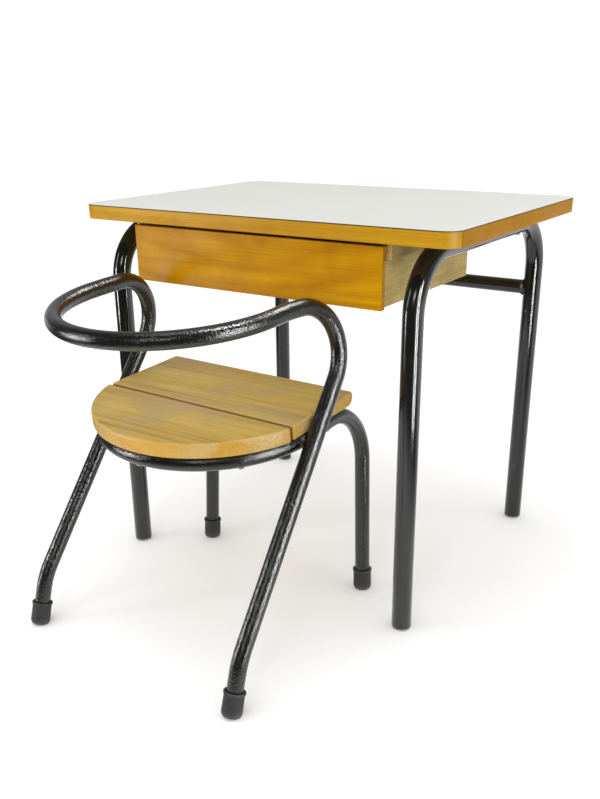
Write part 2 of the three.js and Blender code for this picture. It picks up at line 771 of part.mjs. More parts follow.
function buildChair() {
  const group = new THREE.Group();
  group.add(piece('chair_arm_frame', tubeAlong(armTube(), chairTube, chairTubeWall), 'blackHammered'));
  const bores = seatScrews.map(({ x, y }) => (
    rod(screw.shank + holeClearance, -chairTube, chairTube).applyMatrix4(onSeat(x, y, 0))
  ));
  const rails = cut(tubeAlong(seatTube(), chairTube, chairTubeWall), bores);
  group.add(piece('chair_seat_frame', rails, 'blackHammered'));
  group.add(piece('seat_board_rear', seatBoard(rearBoard(), 20), 'seatWood'));
  group.add(piece('seat_board_front', seatBoard(frontBoard(), 4, [underBevel()]), 'seatWood'));
  for (const { name, x, y } of seatScrews) {
    const geometry = screwShape(screw.shank, seatScrewReach, screw.head);
    const seat = -chairTube / 2 - seam;
    group.add(piece(name, geometry.applyMatrix4(onSeat(x, y, seat)), 'steel'));
  }
  for (const [name, side] of sides) {
    group.add(piece(`ferrule_rear_${name}`, ferrule(rearFoot, side), 'rubber'));
    group.add(piece(`ferrule_front_${name}`, ferrule(frontFoot, side), 'rubber'));
  }
  // The foremost points of the two arms stay just in front of the desk's edge.
  const armReach = Math.max(...armTube().map(({ point }) => point.y)) + chairTube / 2;
  group.rotation.z = chairTurn;
  group.position.set(chairOffset, -armReach - elbowSetback, 0);
  return group;
}

// ---- the whole set, with its origin in the middle of its box, on the floor ----

const set = new THREE.Group();
set.add(buildDeskTop(), buildDeskFrame(), buildRunners(), buildDrawer(), buildChair());
const bounds = new THREE.Box3().setFromObject(set, true);
const centre = bounds.getCenter(new THREE.Vector3());
set.position.set(-centre.x, -centre.y, -bounds.min.z);

const part = new THREE.Group();
part.add(set);

export default part;
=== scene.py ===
import math

import bmesh
import bpy
from mathutils import Matrix, Vector, noise


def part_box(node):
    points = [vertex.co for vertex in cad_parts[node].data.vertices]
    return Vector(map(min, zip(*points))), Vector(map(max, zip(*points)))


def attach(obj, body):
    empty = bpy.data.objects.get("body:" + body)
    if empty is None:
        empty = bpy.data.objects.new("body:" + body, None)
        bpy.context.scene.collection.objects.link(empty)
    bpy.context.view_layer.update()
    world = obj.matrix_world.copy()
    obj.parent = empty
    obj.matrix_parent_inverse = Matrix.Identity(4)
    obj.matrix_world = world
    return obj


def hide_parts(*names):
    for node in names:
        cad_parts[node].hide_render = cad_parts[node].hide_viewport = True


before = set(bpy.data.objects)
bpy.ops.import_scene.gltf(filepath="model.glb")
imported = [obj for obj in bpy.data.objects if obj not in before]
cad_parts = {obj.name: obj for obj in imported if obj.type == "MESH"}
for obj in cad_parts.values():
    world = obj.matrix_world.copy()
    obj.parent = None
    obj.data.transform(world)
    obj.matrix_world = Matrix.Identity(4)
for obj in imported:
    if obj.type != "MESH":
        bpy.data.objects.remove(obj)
scene = bpy.context.scene
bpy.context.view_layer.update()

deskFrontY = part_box("desk_laminate_sheet")[0].y
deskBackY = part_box("desk_laminate_sheet")[1].y
print("frame loaded, desk front at", round(deskFrontY, 4))


# little helpers for shader nodes
def addNode(tree, kind, **settings):
    node = tree.nodes.new(kind)
    for key, value in settings.items():
        setattr(node, key, value)
    return node


def feed(tree, value, socket):
    if isinstance(value, bpy.types.NodeSocket):
        tree.links.new(value, socket)
    else:
        socket.default_value = value


def calc(tree, operation, a, b=0.0, clamp=False):
    node = addNode(tree, "ShaderNodeMath", operation=operation, use_clamp=clamp)
    feed(tree, a, node.inputs[0])
    feed(tree, b, node.inputs[1])
    return node.outputs[0]


def blendColour(tree, amount, a, b, mode="MIX"):
    node = addNode(tree, "ShaderNodeMix", data_type="RGBA", blend_type=mode)
    feed(tree, amount, node.inputs["Factor"])
    feed(tree, a, node.inputs[6])
    feed(tree, b, node.inputs[7])
    return node.outputs[2]


def remap(tree, value, low, high, toLow=0.0, toHigh=1.0):
    node = addNode(tree, "ShaderNodeMapRange", clamp=True)
    feed(tree, value, node.inputs["Value"])
    node.inputs["From Min"].default_value = low
    node.inputs["From Max"].default_value = high
    node.inputs["To Min"].default_value = toLow
    node.inputs["To Max"].default_value = toHigh
    return node.outputs["Result"]


def noiseOf(tree, vector, scale, detail=3.0, rough=0.5, distortion=0.0):
    node = addNode(tree, "ShaderNodeTexNoise")
    feed(tree, vector, node.inputs["Vector"])
    feed(tree, scale, node.inputs["Scale"])
    node.inputs["Detail"].default_value = detail
    node.inputs["Roughness"].default_value = rough
    feed(tree, distortion, node.inputs["Distortion"])
    return node.outputs["Fac"]


def stretched(tree, vector, factors):
    node = addNode(tree, "ShaderNodeVectorMath", operation="MULTIPLY")
    feed(tree, vector, node.inputs[0])
    feed(tree, factors, node.inputs[1])
    return node.outputs[0]


def startGroup(name, inputs, outputs):
    tree = bpy.data.node_groups.new(name, "ShaderNodeTree")
    for label, kind, value in inputs:
        socket = tree.interface.new_socket(name=label, in_out="INPUT", socket_type=kind)
        if value is not None:
            socket.default_value = value
    for label in outputs:
        tree.interface.new_socket(name=label, in_out="OUTPUT", socket_type="NodeSocketFloat")
    return tree, tree.nodes.new("NodeGroupInput"), tree.nodes.new("NodeGroupOutput")


def useGroup(tree, group, **values):
    node = addNode(tree, "ShaderNodeGroup", node_tree=group)
    for key, value in values.items():
        feed(tree, value, node.inputs[key])
    return node


# effects that several finishes share
def makeWoodGrain():
    tree, start, end = startGroup("woodGrain", [
        ("Vector", "NodeSocketVector", None),
        ("Stretch", "NodeSocketVector", (4.0, 60.0, 60.0)),
        ("Rings", "NodeSocketFloat", 5.0),
        ("Wander", "NodeSocketFloat", 0.3),
    ], ["Figure", "Streaks", "Fibre", "Pores", "Cloud", "EndSpeckle"])
    along = stretched(tree, start.outputs["Vector"], start.outputs["Stretch"])
    slow = noiseOf(tree, along, 0.30, 2.0, 0.45, start.outputs["Wander"])
    ring = calc(tree, "PINGPONG", calc(tree, "MULTIPLY", slow, start.outputs["Rings"]), 0.5)
    figure = remap(tree, ring, 0.05, 0.5)
    streaks = noiseOf(tree, stretched(tree, along, (0.5, 1.7, 1.7)), 1.0, 3.0, 0.55)
    streaks = remap(tree, streaks, 0.52, 0.72)
    fibre = noiseOf(tree, stretched(tree, along, (0.6, 7.0, 7.0)), 1.0, 4.0, 0.65)
    pores = remap(tree, noiseOf(tree, stretched(tree, along, (1.6, 16.0, 16.0)), 1.0, 1.0, 0.5), 0.60, 0.72)
    cloud = noiseOf(tree, start.outputs["Vector"], 13.0, 3.0, 0.55)
    speckle = remap(tree, noiseOf(tree, start.outputs["Vector"], 330.0, 3.0, 0.7), 0.42, 0.62)
    for label, value in (("Figure", figure), ("Streaks", streaks), ("Fibre", fibre), ("Pores", pores),
                         ("Cloud", cloud), ("EndSpeckle", speckle)):
        tree.links.new(value, end.inputs[label])
    return tree


def makeEdgeWear():
    tree, start, end = startGroup("edgeWear", [
        ("Vector", "NodeSocketVector", None),
        ("Patchiness", "NodeSocketFloat", 60.0),
        ("Amount", "NodeSocketFloat", 0.5),
    ], ["Mask"])
    geometry = addNode(tree, "ShaderNodeNewGeometry")
    sharp = remap(tree, geometry.outputs["Pointiness"], 0.52, 0.60)
    patch = noiseOf(tree, start.outputs["Vector"], start.outputs["Patchiness"], 4.0, 0.6)
    patch = remap(tree, patch, 0.4, 0.65)
    mask = calc(tree, "MULTIPLY", calc(tree, "MULTIPLY", sharp, patch), start.outputs["Amount"], clamp=True)
    tree.links.new(mask, end.inputs["Mask"])
    return tree


def makeHandling():
    tree, start, end = startGroup("handlingMarks", [
        ("Vector", "NodeSocketVector", None),
        ("Scale", "NodeSocketFloat", 14.0),
    ], ["Smudge", "Scratches", "Specks"])
    smudge = noiseOf(tree, start.outputs["Vector"], start.outputs["Scale"], 5.0, 0.6, 0.4)
    turned = addNode(tree, "ShaderNodeMapping")
    turned.inputs["Rotation"].default_value = (0.3, 0.2, 0.7)
    turned.inputs["Scale"].default_value = (260.0, 7.0, 60.0)
    tree.links.new(start.outputs["Vector"], turned.inputs["Vector"])
    lines = noiseOf(tree, turned.outputs[0], 1.0, 2.0, 0.5)
    scratches = remap(tree, lines, 0.70, 0.74)
    cells = addNode(tree, "ShaderNodeTexVoronoi", feature="F1")
    cells.inputs["Scale"].default_value = 330.0
    tree.links.new(start.outputs["Vector"], cells.inputs["Vector"])
    rare = remap(tree, noiseOf(tree, start.outputs["Vector"], 38.0, 2.0), 0.55, 0.62)
    specks = calc(tree, "MULTIPLY", remap(tree, cells.outputs["Distance"], 0.16, 0.08), rare)
    for label, value in (("Smudge", smudge), ("Scratches", scratches), ("Specks", specks)):
        tree.links.new(value, end.inputs[label])
    return tree


woodGrain = makeWoodGrain()
edgeWear = makeEdgeWear()
handlingMarks = makeHandling()
print("shared effects ready")


def startFinish(name):
    material = bpy.data.materials.new(name)
    material.use_nodes = True
    tree = material.node_tree
    shader = tree.nodes["Principled BSDF"]
    place = addNode(tree, "ShaderNodeTexCoord").outputs["Object"]
    return material, tree, shader, place


def bumpFrom(tree, shader, height, strength, distance):
    bump = addNode(tree, "ShaderNodeBump")
    bump.inputs["Strength"].default_value = strength
    bump.inputs["Distance"].default_value = distance
    tree.links.new(height, bump.inputs["Height"])
    tree.links.new(bump.outputs["Normal"], shader.inputs["Normal"])


def rgb(*channels):  # from 0 to 255 as on a screen, to the linear colour that a shader takes
    linear = [((c / 255 + 0.055) / 1.055) ** 2.4 if c > 10 else c / 255 / 12.92 for c in channels]
    return (*linear, 1.0)


def makeWood(name, look):
    material, tree, shader, place = startFinish(name)
    grain = useGroup(tree, woodGrain, Vector=place, Stretch=look["stretch"], Rings=look["rings"],
                     Wander=look["wander"])
    marks = useGroup(tree, handlingMarks, Vector=place, Scale=14.0)
    facing = addNode(tree, "ShaderNodeSeparateXYZ")
    tree.links.new(addNode(tree, "ShaderNodeTexCoord").outputs["Normal"], facing.inputs[0])
    upward = calc(tree, "ABSOLUTE", facing.outputs["Z"])
    # faces that tilt halfway are the rounded arrises, where the lacquer wears through
    arris = calc(tree, "MULTIPLY", calc(tree, "MULTIPLY", upward, 4.0), calc(tree, "SUBTRACT", 1.0, upward))
    patchy = remap(tree, noiseOf(tree, place, 70.0, 4.0, 0.6), 0.4, 0.65, 0.0, look["wear"])
    worn = calc(tree, "MULTIPLY", arris, patchy, clamp=True)
    colour = blendColour(tree, calc(tree, "MULTIPLY", grain.outputs["Figure"], look["figure"]),
                         look["light"], look["dark"])
    streaks = calc(tree, "MULTIPLY", grain.outputs["Streaks"], look["streaks"])
    colour = blendColour(tree, streaks, colour, look["streak"])
    fibre = calc(tree, "MULTIPLY", remap(tree, grain.outputs["Fibre"], 0.35, 0.7), look["fibre"])
    colour = blendColour(tree, fibre, colour, look["dark"])
    cloud = calc(tree, "MULTIPLY", remap(tree, grain.outputs["Cloud"], 0.45, 0.66), look["cloud"])
    colour = blendColour(tree, cloud, colour, look["stain"])
    pores = calc(tree, "MULTIPLY", grain.outputs["Pores"], look["pores"])
    colour = blendColour(tree, pores, colour, look["pore"])
    if "paleEnds" in look:  # the band where the lipping turns the corner shows its end grain
        apart = addNode(tree, "ShaderNodeSeparateXYZ")
        tree.links.new(place, apart.inputs[0])
        ends = remap(tree, calc(tree, "ABSOLUTE", apart.outputs["X"]), *look["paleEnds"])
        ends = calc(tree, "MULTIPLY", ends, look["paleAmount"])
        colour = blendColour(tree, ends, colour, look["endColour"])
    if "edgeColour" in look:  # cut edges are paler than the faces, and mottled across the end grain
        edge = remap(tree, upward, 0.96, 0.6)
        sideways = calc(tree, "ABSOLUTE", facing.outputs["X"])
        patches = remap(tree, noiseOf(tree, place, 22.0, 3.0, 0.6), 0.42, 0.58)
        patches = calc(tree, "MULTIPLY", patches, remap(tree, sideways, 0.0, 0.5, 0.25, 1.0))
        cut = blendColour(tree, patches, look["edgeColour"], look["edgePatch"])
        colour = blendColour(tree, calc(tree, "MULTIPLY", edge, look["edgeAmount"]), colour, cut)
        endGrain = calc(tree, "MULTIPLY", remap(tree, sideways, 0.2, 0.8), edge)
        mottled = calc(tree, "MULTIPLY", grain.outputs["EndSpeckle"], endGrain)
        colour = blendColour(tree, calc(tree, "MULTIPLY", mottled, 0.6), colour, look["dark"])
    colour = blendColour(tree, worn, colour, look["worn"])
    tree.links.new(colour, shader.inputs["Base Color"])
    gloss = remap(tree, marks.outputs["Smudge"], 0.35, 0.68, *look["rough"])
    gloss = calc(tree, "ADD", gloss, calc(tree, "MULTIPLY", worn, 0.2))
    tree.links.new(gloss, shader.inputs["Roughness"])
    shader.inputs["Specular IOR Level"].default_value = look["shine"]
    height = calc(tree, "SUBTRACT", calc(tree, "MULTIPLY", grain.outputs["Fibre"], 0.6), pores)
    height = calc(tree, "SUBTRACT", height, calc(tree, "MULTIPLY", marks.outputs["Scratches"], 0.3))
    bumpFrom(tree, shader, height, look["bump"], 0.0004)
    return material


honeyLook = {  # lacquered, deep yellow: stretch is long across the grain and short along it
    "stretch": (2.6, 44.0, 44.0), "rings": 7.0, "wander": 0.25,
    "light": rgb(200, 152, 22), "dark": rgb(156, 106, 6), "streak": rgb(154, 102, 4),
    "stain": rgb(142, 92, 4), "pore": rgb(108, 64, 2), "worn": rgb(198, 158, 66),
    "figure": 0.45, "streaks": 0.4, "fibre": 0.35, "cloud": 0.3, "pores": 0.3, "wear": 0.3,
    "rough": (0.28, 0.44), "shine": 0.07, "bump": 0.2,
}
lippingLook = dict(honeyLook, paleEnds=(0.2905, 0.2925), paleAmount=0.4, endColour=rgb(184, 146, 68))
sideLippingLook = dict(honeyLook, stretch=(44.0, 2.6, 44.0), light=rgb(174, 122, 12), shine=0.02)
drawerFrontLook = dict(
    honeyLook, stretch=(3.4, 34.0, 34.0), rings=9.0, wander=0.5, light=rgb(194, 141, 6),
    dark=rgb(150, 96, 1), streak=rgb(168, 110, 2), stain=rgb(152, 96, 1), cloud=0.5, streaks=0.45,
    rough=(0.24, 0.4), shine=0.04,
)
seatLook = {
    "stretch": (4.0, 60.0, 60.0), "rings": 5.0, "wander": 0.15,
    "light": rgb(202, 174, 92), "dark": rgb(162, 126, 42), "streak": rgb(132, 98, 38),
    "stain": rgb(170, 148, 108), "pore": rgb(100, 72, 24), "worn": rgb(198, 164, 92),
    "edgeColour": rgb(198, 146, 34), "edgeAmount": 0.8, "edgePatch": rgb(196, 164, 98),
    "figure": 0.35, "streaks": 0.6, "fibre": 0.5, "cloud": 0.7, "pores": 0.5, "wear": 0.35,
    "rough": (0.34, 0.55), "shine": 0.3, "bump": 0.35,
}
# painted shade: a darker copy of the seat wood for the walls in the gap between the two boards
splitShadeLook = dict(
    seatLook, light=rgb(140, 100, 30), dark=rgb(96, 64, 16), edgeColour=rgb(132, 92, 24),
    edgePatch=rgb(108, 76, 26), worn=rgb(140, 104, 40),
)
rawLook = {
    "stretch": (60.0, 4.0, 60.0), "rings": 6.0, "wander": 0.3,
    "light": rgb(206, 182, 116), "dark": rgb(166, 140, 76), "streak": rgb(136, 110, 56),
    "stain": rgb(150, 126, 74), "pore": rgb(96, 76, 40), "worn": rgb(198, 178, 126),
    "figure": 0.45, "streaks": 0.5, "fibre": 0.5, "cloud": 0.75, "pores": 0.4, "wear": 0.3,
    "rough": (0.62, 0.85), "shine": 0.2, "bump": 0.4,
}
crossRawLook = dict(rawLook, stretch=(4.0, 60.0, 60.0))
boardLook = dict(
    rawLook, light=rgb(178, 142, 92), dark=rgb(150, 112, 66), rings=1.2, stretch=(14.0, 22.0, 90.0),
)


def makeLaminate(name, look):
    material, tree, shader, place = startFinish(name)
    marks = useGroup(tree, handlingMarks, Vector=place, Scale=7.0)
    mottle = noiseOf(tree, place, 420.0, 3.0, 0.6)
    colour = blendColour(tree, remap(tree, mottle, 0.4, 0.7, 0.0, 0.2), look["light"], look["shade"])
    haze = remap(tree, marks.outputs["Smudge"], 0.45, 0.75, 0.0, 0.25)
    colour = blendColour(tree, haze, colour, look["shade"])
    tree.links.new(colour, shader.inputs["Base Color"])
    gloss = remap(tree, marks.outputs["Smudge"], 0.35, 0.7, *look["rough"])
    tree.links.new(gloss, shader.inputs["Roughness"])
    shader.inputs["Specular IOR Level"].default_value = look["shine"]
    return material


laminateLook = {
    "light": rgb(212, 213, 207), "shade": rgb(204, 205, 198), "rough": (0.38, 0.5), "shine": 0.25,
}


def makeEnamel(name, look):
    material, tree, shader, place = startFinish(name)
    marks = useGroup(tree, handlingMarks, Vector=place, Scale=20.0)
    chips = remap(tree, noiseOf(tree, place, 75.0, 3.0, 0.7), 0.715, 0.73, 0.0, 0.7)
    skin = noiseOf(tree, place, look["skinScale"], 2.0, 0.45)
    drift = noiseOf(tree, place, 45.0, 3.0, 0.5)
    colour = blendColour(tree, remap(tree, drift, 0.4, 0.7, 0.0, 0.5), look["black"], look["lift"])
    dusty = calc(tree, "MULTIPLY", marks.outputs["Specks"], look["dust"])
    colour = blendColour(tree, dusty, colour, look["dustColour"])
    colour = blendColour(tree, chips, colour, look["steel"])
    tree.links.new(colour, shader.inputs["Base Color"])
    gloss = remap(tree, marks.outputs["Smudge"], 0.35, 0.7, *look["rough"])
    gloss = calc(tree, "ADD", gloss, calc(tree, "MULTIPLY", dusty, 0.3))
    tree.links.new(gloss, shader.inputs["Roughness"])
    shader.inputs["Specular IOR Level"].default_value = look["shine"]
    height = calc(tree, "SUBTRACT", calc(tree, "ADD", skin, calc(tree, "MULTIPLY", drift, 0.3)), chips)
    bumpFrom(tree, shader, height, look["bump"], look["bumpDepth"])
    return material


glossLook = {
    "black": rgb(14, 15, 13), "lift": rgb(24, 25, 22), "steel": rgb(120, 118, 112),
    "dustColour": rgb(120, 118, 108), "dust": 0.25, "rough": (0.10, 0.2), "shine": 0.7,
    "skinScale": 320.0, "bump": 0.10, "bumpDepth": 0.0004,
}
hammeredLook = dict(
    glossLook, black=rgb(16, 17, 14), lift=rgb(28, 29, 25), dust=0.3, rough=(0.12, 0.22),
    skinScale=440.0, bump=0.8, bumpDepth=0.0008,
)


def makeDull(name, look):
    material, tree, shader, place = startFinish(name)
    marks = useGroup(tree, handlingMarks, Vector=place, Scale=60.0)
    wear = useGroup(tree, edgeWear, Vector=place, Patchiness=140.0, Amount=look["wear"])
    fine = noiseOf(tree, place, look["scale"], 4.0, 0.6)
    colour = blendColour(tree, remap(tree, fine, 0.35, 0.7), look["dark"], look["light"])
    apart = addNode(tree, "ShaderNodeSeparateXYZ")
    tree.links.new(place, apart.inputs[0])
    nearFloor = remap(tree, apart.outputs["Z"], 0.012, 0.0)
    grime = calc(tree, "MULTIPLY", nearFloor, look["grime"])
    colour = blendColour(tree, grime, colour, look["grimeColour"])
    colour = blendColour(tree, wear.outputs["Mask"], colour, look["worn"])
    tree.links.new(colour, shader.inputs["Base Color"])
    gloss = remap(tree, marks.outputs["Smudge"], 0.3, 0.7, *look["rough"])
    tree.links.new(gloss, shader.inputs["Roughness"])
    shader.inputs["Metallic"].default_value = look["metal"]
    bumpFrom(tree, shader, fine, look["bump"], 0.0003)
    return material


# grime gathers near the floor, and wear shows on sharp edges
rubberLook = {
    "dark": rgb(26, 26, 26), "light": rgb(46, 46, 45), "worn": rgb(96, 96, 92), "wear": 0.5,
    "grime": 0.5, "grimeColour": rgb(104, 100, 92), "rough": (0.55, 0.8), "metal": 0.0,
    "bump": 0.4, "scale": 700.0,
}
glideLook = dict(
    rubberLook, dark=rgb(128, 126, 112), light=rgb(166, 164, 150), worn=rgb(190, 188, 176),
    grimeColour=rgb(84, 80, 70), scale=420.0, rough=(0.45, 0.65),
)
steelLook = dict(
    rubberLook, dark=rgb(120, 118, 112), light=rgb(176, 174, 168), worn=rgb(206, 204, 198),
    grime=0.0, rough=(0.3, 0.5), metal=0.9, bump=0.15, scale=900.0,
)
sheetEdgeLook = dict(
    rubberLook, dark=rgb(44, 36, 30), light=rgb(66, 54, 44), worn=rgb(120, 104, 88), grime=0.0,
    rough=(0.4, 0.6), wear=0.2, bump=0.2,
)
weldLook = dict(
    rubberLook, dark=rgb(24, 24, 22), light=rgb(44, 44, 40), worn=rgb(150, 140, 118), grime=0.0,
    rough=(0.2, 0.4), wear=0.8, bump=0.6, scale=500.0,
)

finish = {
    "laminate": makeLaminate("whiteLaminate", laminateLook),
    "sheetEdge": makeDull("laminateEdge", sheetEdgeLook),
    "lipping": makeWood("honeyLipping", lippingLook),
    "sideLipping": makeWood("honeySideLipping", sideLippingLook),
    "core": makeWood("rawBoard", boardLook),
    "drawerFront": makeWood("honeyDrawerFront", drawerFrontLook),
    "rawWood": makeWood("rawDrawerWood", rawLook),
    "crossRawWood": makeWood("rawCrossWood", crossRawLook),
    "seatWood": makeWood("lacqueredSeat", seatLook),
    "splitShadeWood": makeWood("seatSplitPaintedShade", splitShadeLook),
    "gloss": makeEnamel("blackGlossEnamel", glossLook),
    "hammered": makeEnamel("blackChairEnamel", hammeredLook),
    "rubber": makeDull("ferruleRubber", rubberLook),
    "glide": makeDull("glidePlastic", glideLook),
    "steel": makeDull("screwSteel", steelLook),
    "weld": makeDull("paintedWeld", weldLook),
}
print("finishes ready:", len(finish))


# turns a bmesh into an object that rides on its body
def finishPiece(bm, name, materials, body, nodes=(), smoothAngle=38):
    bmesh.ops.recalc_face_normals(bm, faces=bm.faces)
    limit = math.radians(smoothAngle)
    for face in bm.faces:
        face.smooth = True
    for edge in bm.edges:
        edge.smooth = not (len(edge.link_faces) == 2 and edge.calc_face_angle(0) > limit)
    mesh = bpy.data.meshes.new(name)
    bm.to_mesh(mesh)
    bm.free()
    for key in materials:
        mesh.materials.append(finish[key])
    piece = bpy.data.objects.new(name, mesh)
    scene.collection.objects.link(piece)
    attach(piece, body)
    if nodes:
        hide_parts(*nodes)
    return piece


def isUpright(edge):
    return abs((edge.verts[0].co - edge.verts[1].co).normalized().z) > 0.9


def atHeight(level):  # picks the edges that lie level at one height
    return lambda edge: all(abs(v.co.z - level) < 1e-4 for v in edge.verts)


def bevelSharp(bm, width, segments=3, angle=30, only=None):
    edges = [e for e in bm.edges if len(e.link_faces) == 2 and e.calc_face_angle(0) > math.radians(angle)]
    if only:
        edges = [e for e in edges if only(e)]
    bmesh.ops.bevel(bm, geom=edges, offset=width, offset_type="OFFSET", segments=segments, profile=0.5,
                    affect="EDGES", clamp_overlap=True, material=-1)


# a narrow rim round each large face keeps the shading of its rounded edges from running across it
def rimLargeFaces(bm, smallest, rim=0.0003):
    large = [f for f in bm.faces if f.calc_area() > smallest]
    bmesh.ops.inset_individual(bm, faces=large, thickness=rim, depth=0, use_even_offset=False)


# a flat board that fills its node's box
def plank(node, width=0.0012, name=None, materials=("rawWood",), body="drawer"):
    low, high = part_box(node)
    bm = bmesh.new()
    bmesh.ops.create_cube(bm, size=1.0)
    bmesh.ops.scale(bm, vec=high - low, verts=bm.verts)
    bmesh.ops.translate(bm, vec=(low + high) / 2, verts=bm.verts)
    bevelSharp(bm, width)
    rimLargeFaces(bm, 0.001)
    return finishPiece(bm, name or node + "_wood", materials, body, [node])


def extrudeUp(bm, thickness):
    out = bmesh.ops.extrude_face_region(bm, geom=bm.faces[:])
    risen = [g for g in out["geom"] if isinstance(g, bmesh.types.BMVert)]
    bmesh.ops.translate(bm, vec=(0, 0, thickness), verts=risen)


def outlineFace(bm, points):
    verts = [bm.verts.new((x, y, 0)) for x, y in points]
    return bm.faces.new(verts)


# a tube's centre line with a round bend at each inner corner, as points and ways
def bentLine(corners, bends, step=math.radians(4)):
    corners = [Vector(c) for c in corners]
    stations = [(corners[0], (corners[1] - corners[0]).normalized())]
    for k in range(1, len(corners) - 1):
        wayIn = (corners[k] - corners[k - 1]).normalized()
        wayOut = (corners[k + 1] - corners[k]).normalized()
        sweep = wayIn.angle(wayOut)
        axis = wayIn.cross(wayOut).normalized()
        begin = corners[k] - wayIn * bends[k - 1] * math.tan(sweep / 2)
        centre = begin + axis.cross(wayIn) * bends[k - 1]
        count = max(2, math.ceil(sweep / step))
        for n in range(count + 1):
            turn = Matrix.Rotation(sweep * n / count, 3, axis)
            stations.append((turn @ (begin - centre) + centre, turn @ wayIn))
    stations.append((corners[-1], (corners[-1] - corners[-2]).normalized()))
    return stations


def mirrored(stations):
    return [(Vector((-p.x, p.y, p.z)), Vector((d.x, -d.y, -d.z))) for p, d in reversed(stations)]


# sweeps a circle along the stations, each a point and the way the tube runs there
def drawTube(bm, stations, radius, sides):
    point, way = stations[0]
    turn = way.to_track_quat("Z", "Y").to_matrix().to_4x4()
    made = bmesh.ops.create_circle(bm, cap_ends=False, segments=sides, radius=radius,
                                   matrix=Matrix.Translation(point) @ turn)
    edges = list(dict.fromkeys(e for v in made["verts"] for e in v.link_edges))
    firstRim = edges
    for nextPoint, nextWay in stations[1:]:
        out = bmesh.ops.extrude_edge_only(bm, edges=edges)
        verts = [g for g in out["geom"] if isinstance(g, bmesh.types.BMVert)]
        edges = [g for g in out["geom"] if isinstance(g, bmesh.types.BMEdge)]
        bmesh.ops.rotate(bm, cent=point, matrix=way.rotation_difference(nextWay).to_matrix(), verts=verts)
        bmesh.ops.translate(bm, vec=nextPoint - point, verts=verts)
        point, way = nextPoint, nextWay
    bmesh.ops.edgeloop_fill(bm, edges=firstRim)
    bmesh.ops.edgeloop_fill(bm, edges=edges)


# a turned piece, from radius and height along its section
def spinProfile(bm, profile, sides=32):
    verts = [bm.verts.new((r, 0, z)) for r, z in profile]
    edges = [bm.edges.new(pair) for pair in zip(verts, verts[1:])]
    bmesh.ops.spin(bm, geom=verts + edges, cent=(0, 0, 0), axis=(0, 0, 1), angle=2 * math.pi, steps=sides,
                   use_merge=True, use_duplicate=False)
    bmesh.ops.remove_doubles(bm, verts=bm.verts, dist=1e-6)


# lengths here and below are in metres
screwLook = {"radius": 0.0042, "height": 0.0026, "underHead": 0.0026, "recess": 0.0013}
smallScrewLook = {
    "radius": 0.0029, "height": 0.0018, "underHead": 0.0018, "recess": 0.0013 * 0.0029 / 0.0042,
}


# a pan head at the lower end of a screw's node, with its shank pointing up into the wood
def panScrew(name, node, body, size, lean=0.0):
    bm = bmesh.new()
    radius, height = size["radius"], size["height"]
    dome = [(0.0, -height)]
    for n in range(1, 8):
        angle = math.pi / 2 * n / 7
        dome.append((radius * math.sin(angle) ** 0.8, -height * (0.25 + 0.75 * math.cos(angle) ** 1.4)))
    dome += [(radius, 0.0), (radius * 0.45, 0.0), (radius * 0.45, 0.004), (0.0, 0.004)]
    spinProfile(bm, dome, 20)
    crown = [f for f in bm.faces if f.calc_center_median().z < -height * 0.93]
    bmesh.ops.inset_region(bm, faces=crown, thickness=radius * 0.08, depth=0)
    crownVerts = list(dict.fromkeys(v for f in crown for v in f.verts))
    bmesh.ops.translate(bm, vec=(0, 0, size["recess"]), verts=crownVerts)
    low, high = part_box(node)
    place = Matrix.Translation(((low.x + high.x) / 2, (low.y + high.y) / 2, low.z + size["underHead"]))
    bmesh.ops.transform(bm, matrix=place @ Matrix.Rotation(lean, 4, "X"), verts=bm.verts)
    return finishPiece(bm, name, ["steel"], body, [node])


topLook = {
    "corner": 0.025, "cornerSteps": 12, "edgeRound": 0.0004, "lippingRound": 0.0016, "boardRound": 0.0004,
}


def buildTop():
    low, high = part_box("desk_laminate_sheet")
    bm = bmesh.new()
    bmesh.ops.create_cube(bm, size=1.0)
    bmesh.ops.scale(bm, vec=high - low, verts=bm.verts)
    bmesh.ops.translate(bm, vec=(low + high) / 2, verts=bm.verts)
    bevelSharp(bm, topLook["corner"], topLook["cornerSteps"], only=isUpright)
    bevelSharp(bm, topLook["edgeRound"], 2, angle=60)
    rimLargeFaces(bm, 0.01)
    for face in bm.faces:
        face.material_index = 0 if face.normal.z > 0.9 else 1
    finishPiece(bm, "laminate_top", ["laminate", "sheetEdge"], "desk",
                ["desk_laminate_sheet"])
    for node, key in (("lipping_front", "lipping"), ("lipping_rear", "lipping"),
                      ("lipping_left", "sideLipping"), ("lipping_right", "sideLipping")):
        bm = bmesh.new()
        bm.from_mesh(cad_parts[node].data)
        bmesh.ops.remove_doubles(bm, verts=bm.verts, dist=1e-5)
        bmesh.ops.dissolve_limit(bm, angle_limit=math.radians(1), verts=bm.verts, edges=bm.edges)
        lowest = min(v.co.z for v in bm.verts)
        bevelSharp(bm, topLook["lippingRound"], 3, angle=60, only=atHeight(lowest))
        finishPiece(bm, node + "_wood", [key], "desk", [node])
    plank("desk_core_panel", topLook["boardRound"], materials=("core",), body="desk")


buildTop()
print("desk top done")


deskFrame = {
    "tube": 0.0269, "sides": 36, "bend": 0.075, "legX": 0.243, "frontInset": 0.0145, "rearInset": 0.002,
    "topDrop": 0.03425, "footHeight": 0.0032, "endRound": 0.0006,
    "stretcherTube": 0.022, "stretcherSides": 32, "stretcherDrop": 0.143,
    "weldThickness": 0.0022, "weldGap": 0.0006, "weldUneven": 0.03, "weldRipple": 260,
}
glideSize = {  # radius and height along its section: the sole, the rim, and the plug inside the tube
    "section": [(0.0, 0.0), (0.0112, 0.0), (0.0122, 0.0004), (0.0127, 0.0012), (0.0127, 0.0026),
                (0.0124, 0.003), (0.0106, 0.003), (0.0106, 0.015), (0.0092, 0.0168), (0.0, 0.0168)],
}


